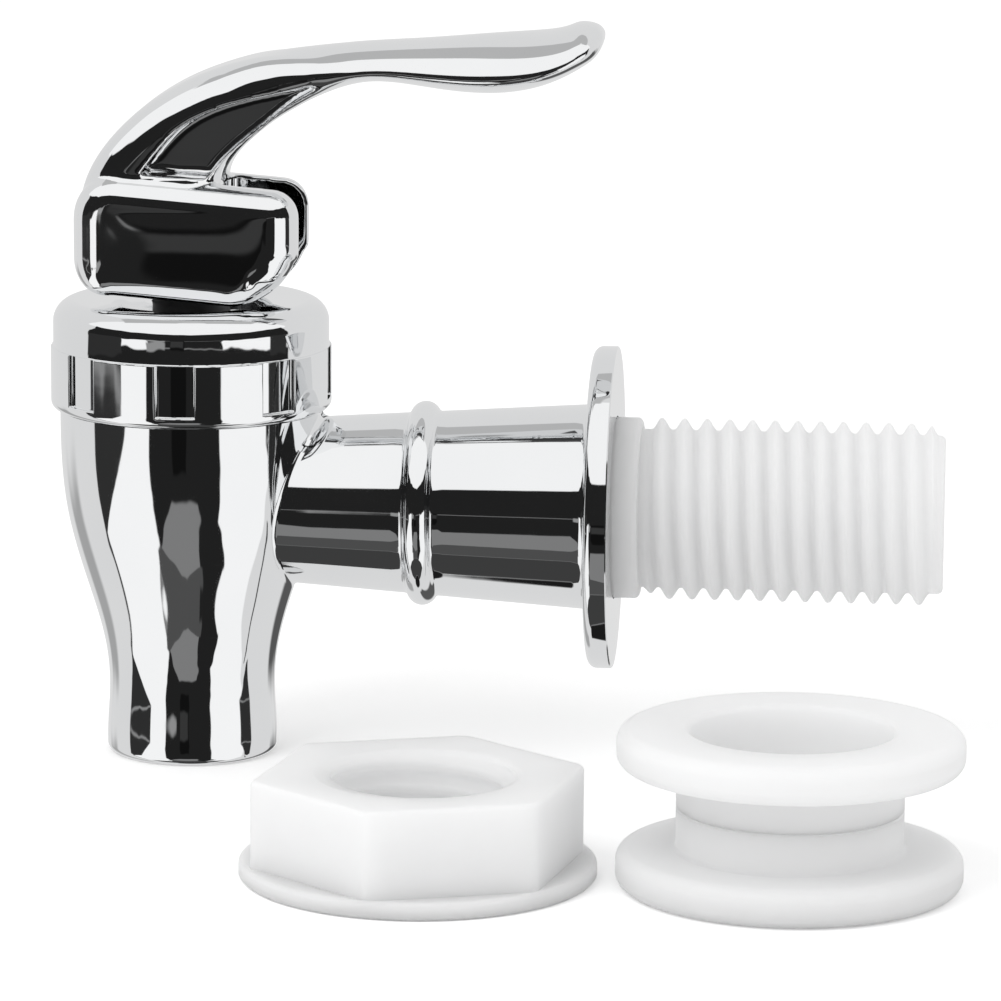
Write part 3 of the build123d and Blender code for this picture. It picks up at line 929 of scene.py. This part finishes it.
# distance to the side of a hexagon with rounded corners and flats at 0, 60 and 120 degrees
def hexRadius(angle, apothem, corner):
    off = (angle + math.pi / 6) % (math.pi / 3) - math.pi / 6
    if math.tan(abs(off)) < (apothem - corner) * math.tan(math.pi / 6) / apothem:
        return apothem / math.cos(off)
    middle = (apothem - corner) / math.cos(math.pi / 6)
    fromCorner = math.pi / 6 - abs(off)
    return middle * math.cos(fromCorner) + math.sqrt(corner ** 2 - (middle * math.sin(fromCorner)) ** 2)


def makeNut():
    apothem, height = nut["acrossFlats"] / 2, nut["height"]
    root = nipple["rootRadius"] + nut["clearance"]
    flange, thick = nut["flangeRadius"], nut["flangeThickness"]
    chamfer, lip, fillet = nut["flangeChamfer"], nut["flangeRound"], nut["topRound"]
    rows = [("round", root, 0.0), ("round", flange - chamfer, 0.0), ("round", flange, chamfer)]
    rows.append(("round", flange, thick - lip))
    rows += [("round", r, z) for r, z in arc((flange - lip, thick - lip), lip, 0, 90, 5)][1:]
    rows += [("hex", 0.0, z) for z in (thick * 0.9, thick + 0.25, height - 1.4)]  # the first is in the flange
    for step in range(nut["topSteps"] + 1):
        turn = math.pi / 2 * step / nut["topSteps"]
        rows.append(("hex", -fillet * (1 - math.cos(turn)), height - fillet * (1 - math.sin(turn))))
    crest = nipple["crestRadius"] + nut["clearance"]
    mouth, margin = nut["mouthChamfer"], nut["boreMargin"]
    rows += [("round", crest + nut["mouthStep"], height), ("round", crest + mouth, height - mouth)]
    count = int(height / nipple["pitch"] * nut["rowsPerPitch"])
    rows += [("bore", root, z) for z in np.linspace(height - margin, margin, count)]
    waiting = nut["waitingFrom"]
    outline = [(apothem + 0.02 * i, waiting + i) if kind == "hex" else (size, place)
               for i, (kind, size, place) in enumerate(rows)]
    piece = lathe("hexNut", outline, nut["steps"])
    for vertex in piece.data.vertices:
        angle = math.atan2(vertex.co.y, vertex.co.x)
        radius = math.hypot(vertex.co.x, vertex.co.y)
        if vertex.co.z > waiting:
            _, inset, place = rows[round(vertex.co.z) - waiting]
            grown = hexRadius(angle, apothem, nut["cornerRound"]) + inset
            vertex.co = (grown * math.cos(angle), grown * math.sin(angle), place)
        elif abs(radius - root) < 0.02 and 0.1 < vertex.co.z < height - 0.1:
            rise = threadRise(vertex.co.z, angle, nipple["pitch"])
            grown = root + (crest - root) * rise
            vertex.co = (grown * math.cos(angle), grown * math.sin(angle), vertex.co.z)
    piece.rotation_euler.z = math.radians(nut["turn"])
    return shift(piece, ((nutLow.x + nutHigh.x) / 2, (nutLow.y + nutHigh.y) / 2, nutLow.z))


settle(makeNut(), natural, "body", "natural_plastic", "hex_nut", smoothAngle=40).visible_glossy = False


# Flanged washers, the upper one turned over

washer = {
    "radius": 14.2,
    "thickness": 3.15,
    "edgeRound": 1.1,
    "collarRadius": 9.3,
    "collarHeight": 3.4,
    "boreRadius": 8.3,
    "boreRound": 0.5,
    "footRound": 0.35,
    "chamfer": 0.15,
    "steps": 192,
}


def makeWasher(name, flipped):
    edge, thick = washer["edgeRound"], washer["thickness"]
    bore, lip = washer["boreRadius"], washer["boreRound"]
    collar, foot, chamfer = washer["collarRadius"], washer["footRound"], washer["chamfer"]
    top = thick + washer["collarHeight"]
    outline = arc((bore + lip, lip), lip, 180, 270, 6)
    outline += arc((washer["radius"] - edge, edge), edge, -90, 0, 8)
    outline += arc((washer["radius"] - edge, thick - edge), edge, 0, 90, 8)
    outline += arc((collar + foot, thick + foot), foot, 270, 180, 5)
    outline += [(collar, top - chamfer), (collar - chamfer, top)]
    outline += [(bore + chamfer, top), (bore, top - chamfer)]
    piece = lathe(name, outline, washer["steps"])
    low, high = (upperLow, upperHigh) if flipped else (washerLow, washerHigh)
    if flipped:
        piece.rotation_euler.x = math.pi
    return shift(piece, ((low.x + high.x) / 2, (low.y + high.y) / 2, high.z if flipped else low.z))


for name, node, flipped in (("outerWasher", "outer_washer", False), ("innerWasher", "inner_washer", True)):
    settle(makeWasher(name, flipped), silicone, "body", "clear_silicone", node).visible_glossy = False


# Inner pieces keep their CAD shape and get their finish

innerFinishes = {
    "seat_cup": silicone,
    "bonnet_gasket": silicone,
    # valve stem and spring washer take the near-black plastic that paints the shade in the gap under the
    # lever
    "valve_stem": shadeDarkPlastic,
    "spring_washer": shadeDarkPlastic,
    "stem_spring": springSteel,
    "stem_o_ring": ringRubber,
    "nipple_o_ring": ringRubber,
}

for node, finish in innerFinishes.items():
    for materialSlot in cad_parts[node].material_slots:
        materialSlot.material = finish
print("inner pieces dressed")


# Floor, world and lamp

studio = {
    "floorSize": 4.0,
    "floorBelow": 0.00005,
    "floorGlow": 0.26,  # for the camera alone, so that the floor shows white
    "diffuseLight": 0.8,
    "backTone": 0.76,
    "frontEdge": 1.3,  # softness of the reflected cards' edges, in degrees
    "backEdge": 7.0,
    "sideWobble": 13.0,
    "heightWobble": 6.0,
    "wobbleScale": 3.6,
    "wobbleDetail": 1.5,
}

keyLamp = {
    "place": (-0.35, -0.45, 0.6),
    "size": (0.4, 0.4),
    "power": 1.6,
}

# Reflected cards: azimuth from and to, elevation from and to, tone, and how far the left and the right edge
# move for each degree further down. Azimuth 0 is the front and 90 the right side, and later cards lie
# over earlier ones.
frontCards = [
    (-100, 100, 25, 95, 1.0, 0, 0),
    (-200, -90, 58, 84, 0.5, 0, 0),
    (90, 200, 58, 84, 0.5, 0, 0),
    (-86, 96, -3, 27, 0.016, 0, 0),
    (-84, -28, -54, -3, 1.02, 0, 0),
    (33, 80, -54, -3, 1.02, 0, 0),
    (-87, -49.5, -9, 0, 0.03, 0, 0),
    (-87, -49.5, -28, -9, 0.03, 0, -1.9),
    (-87, -84.5, -54, -26, 0.05, 0, 0),
    (75, 94, -12, 0, 0.03, 0, 0),
    (75, 94, -26, -12, 0.03, 1.3, 0),
    (84, 86.5, -50, -26, 0.05, 0.9, 0.9),
    (-28, 33, -54, -3, 0.016, 0, 0),
    (20, 33, -42.3, -28, 0.016, 0, 0.8),
    (20, 44, -54, -41.4, 0.016, 0, -0.9),
    (-75, 75, -80, -54, 0.05, 0, 0),
    (-200, 200, -95, -80, 0.012, 0, 0),
    (-29, 16, -54, -37, 0.08, 0, 0),
    (-12, 14, -46, -22.5, 0.22, -0.95, 0.18),
    (-30, -27, -47, -37.5, 0.08, 0, 3.2),
    (17, 20, -47, -42.5, 0.08, -5, 0),
    (-30, -13, -6, -2, 0.3, 0, 0),
    (-9, 2, -16, -2, 0.006, 0, 0),
    (-9, 1, -8, -3.5, 0.04, 0, 0),
]
backCards = [  # these measure azimuth from straight behind
    (12, 40, -70, -14, 0.1, 0, 0),
    (-62, -40, -60, -14, 0.4, 0, 0),
]


def makeCardMask():
    names = ("Azimuth", "Elevation", "Left", "Right", "Low", "High", "Edge", "Lean Left", "Lean Right")
    group, start, end = newGroup("cardMask", dict.fromkeys(names, 0.0), ["Mask"])
    below = calculate(group, "SUBTRACT", start.outputs["High"], start.outputs["Elevation"])
    sides = {"Low": start.outputs["Low"], "High": start.outputs["High"]}
    for side in ("Left", "Right"):
        moved = calculate(group, "MULTIPLY", below, start.outputs["Lean " + side])
        sides[side] = calculate(group, "ADD", start.outputs[side], moved)
    parts = []
    for angle, side, way in (("Azimuth", "Left", 1), ("Azimuth", "Right", -1),
                             ("Elevation", "Low", 1), ("Elevation", "High", -1)):
        distance = calculate(group, "SUBTRACT", start.outputs[angle], sides[side])
        inside = calculate(group, "MULTIPLY", distance, way)
        share = calculate(group, "DIVIDE", inside, start.outputs["Edge"])
        centred = calculate(group, "ADD", share, 0.5)
        ramp = addNode(group, "MapRange", interpolation_type="SMOOTHSTEP")
        wire(group, centred, ramp.inputs["Value"])
        parts.append(ramp.outputs[0])
    both = calculate(group, "MULTIPLY", parts[0], parts[1])
    upright = calculate(group, "MULTIPLY", parts[2], parts[3])
    wire(group, calculate(group, "MULTIPLY", both, upright), end.inputs["Mask"])
    return group


def makeWorld():
    world = bpy.data.worlds.new("studio")
    bpy.context.scene.world = world
    world.use_nodes = True
    tree = world.node_tree
    tree.nodes.clear()
    out = addNode(tree, "OutputWorld")
    place = addNode(tree, "TexCoord")
    wobble = fillIn(addNode(tree, "TexNoise"), Scale=studio["wobbleScale"], Detail=studio["wobbleDetail"])
    wire(tree, place.outputs["Generated"], wobble.inputs["Vector"])
    offset = calculate(tree, "SUBTRACT", wobble.outputs[0], 0.5)
    axes = addNode(tree, "SeparateXYZ")
    wire(tree, place.outputs["Generated"], axes.inputs[0])
    toFront = calculate(tree, "MULTIPLY", axes.outputs["Y"], -1.0)
    turn = calculate(tree, "DEGREES", calculate(tree, "ARCTAN2", axes.outputs["X"], toFront))
    turn = calculate(tree, "ADD", turn, calculate(tree, "MULTIPLY", offset, studio["sideWobble"]))
    turnBack = calculate(tree, "DEGREES", calculate(tree, "ARCTAN2", axes.outputs["X"], axes.outputs["Y"]))
    rise = calculate(tree, "DEGREES", calculate(tree, "ARCSINE", axes.outputs["Z"]))
    rise = calculate(tree, "ADD", rise, calculate(tree, "MULTIPLY", offset, studio["heightWobble"]))
    cardMask = makeCardMask()
    tone = None
    for cards, azimuth, edge in ((backCards, turnBack, studio["backEdge"]),
                                 (frontCards, turn, studio["frontEdge"])):
        for left, right, low, high, value, leanLeft, leanRight in cards:
            mask = addNode(tree, "Group", node_tree=cardMask)
            fillIn(mask, Left=left, Right=right, Low=low, High=high)
            fillIn(mask, Edge=edge, Lean_Left=leanLeft, Lean_Right=leanRight)
            wire(tree, azimuth, mask.inputs["Azimuth"])
            wire(tree, rise, mask.inputs["Elevation"])
            blend = fillIn(addNode(tree, "Mix", data_type="FLOAT"), A=studio["backTone"], B=value)
            wire(tree, mask.outputs["Mask"], blend.inputs["Factor"])
            if tone:
                wire(tree, tone, blend.inputs["A"])
            tone = blend.outputs["Result"]
    reflected = addNode(tree, "Background")
    wire(tree, tone, reflected.inputs["Color"])
    plain = fillIn(addNode(tree, "Background"), Color=(1, 1, 1, 1), Strength=studio["diffuseLight"])
    white = fillIn(addNode(tree, "Background"), Color=(1, 1, 1, 1))
    path = addNode(tree, "LightPath")
    seen = calculate(tree, "MAXIMUM", path.outputs["Is Camera Ray"], path.outputs["Is Transmission Ray"])
    light = plain.outputs[0]
    for share, other in ((path.outputs["Is Glossy Ray"], reflected), (seen, white)):
        choice = addNode(tree, "MixShader")
        wire(tree, share, choice.inputs["Fac"])
        wire(tree, light, choice.inputs[1])
        wire(tree, other.outputs[0], choice.inputs[2])
        light = choice.outputs[0]
    wire(tree, light, out.inputs["Surface"])


def makeFloor():
    freeHands()
    height = floorZ * mm - studio["floorBelow"]
    bpy.ops.mesh.primitive_plane_add(size=studio["floorSize"], location=(0, 0, height))
    floor = bpy.context.object
    floor.name = "floor"
    floor.visible_glossy = False
    material, tree, shader = newMaterial(
        "paleFloor", Base_Color=(0.95, 0.95, 0.95, 1), Roughness=0.9, Specular_IOR_Level=0.0,
        Emission_Color=(1, 1, 1, 1))
    path = addNode(tree, "LightPath")
    glow = calculate(tree, "MULTIPLY", path.outputs["Is Camera Ray"], studio["floorGlow"])
    wire(tree, glow, shader.inputs["Emission Strength"])
    floor.data.materials.append(material)


def makeLamp(name, place, size, power):
    data = bpy.data.lights.new(name, "AREA")
    data.shape = "RECTANGLE"
    data.size, data.size_y = size
    data.energy = power
    lamp = bpy.data.objects.new(name, data)
    bpy.context.scene.collection.objects.link(lamp)
    lamp.location = place
    lamp.rotation_euler = (-Vector(place)).to_track_quat("-Z", "Y").to_euler()
    lamp.visible_glossy = False


makeWorld()
makeFloor()
makeLamp("keyLamp", **keyLamp)
print("studio ready")


# Camera at the photograph's angle

view = {
    "azimuth": 4.646,
    "elevation": 11.057,
    "roll": -0.435,
    "distance": 0.4874,
    "target": (-0.010235, 0, 0.000363),
    "lens": 197.8,
    "sensor": 36.0,
}


def makeCamera():
    turn, rise = math.radians(view["azimuth"]), math.radians(view["elevation"])
    roll = math.radians(view["roll"])
    right = Vector((math.cos(turn), math.sin(turn), 0))
    back = Vector((math.sin(turn) * math.cos(rise), -math.cos(turn) * math.cos(rise), math.sin(rise)))
    up = back.cross(right)
    rolledRight = right * math.cos(roll) - up * math.sin(roll)
    rolledUp = right * math.sin(roll) + up * math.cos(roll)
    data = bpy.data.cameras.new("camera")
    data.lens = view["lens"]
    data.sensor_width = view["sensor"]
    data.clip_start = 0.01
    data.clip_end = 20.0
    camera = bpy.data.objects.new("camera", data)
    bpy.context.scene.collection.objects.link(camera)
    facing = Matrix((rolledRight, rolledUp, back)).transposed().to_4x4()
    camera.matrix_world = Matrix.Translation(Vector(view["target"]) + back * view["distance"]) @ facing
    bpy.context.scene.camera = camera


makeCamera()
bpy.context.scene.view_settings.view_transform = "Standard"
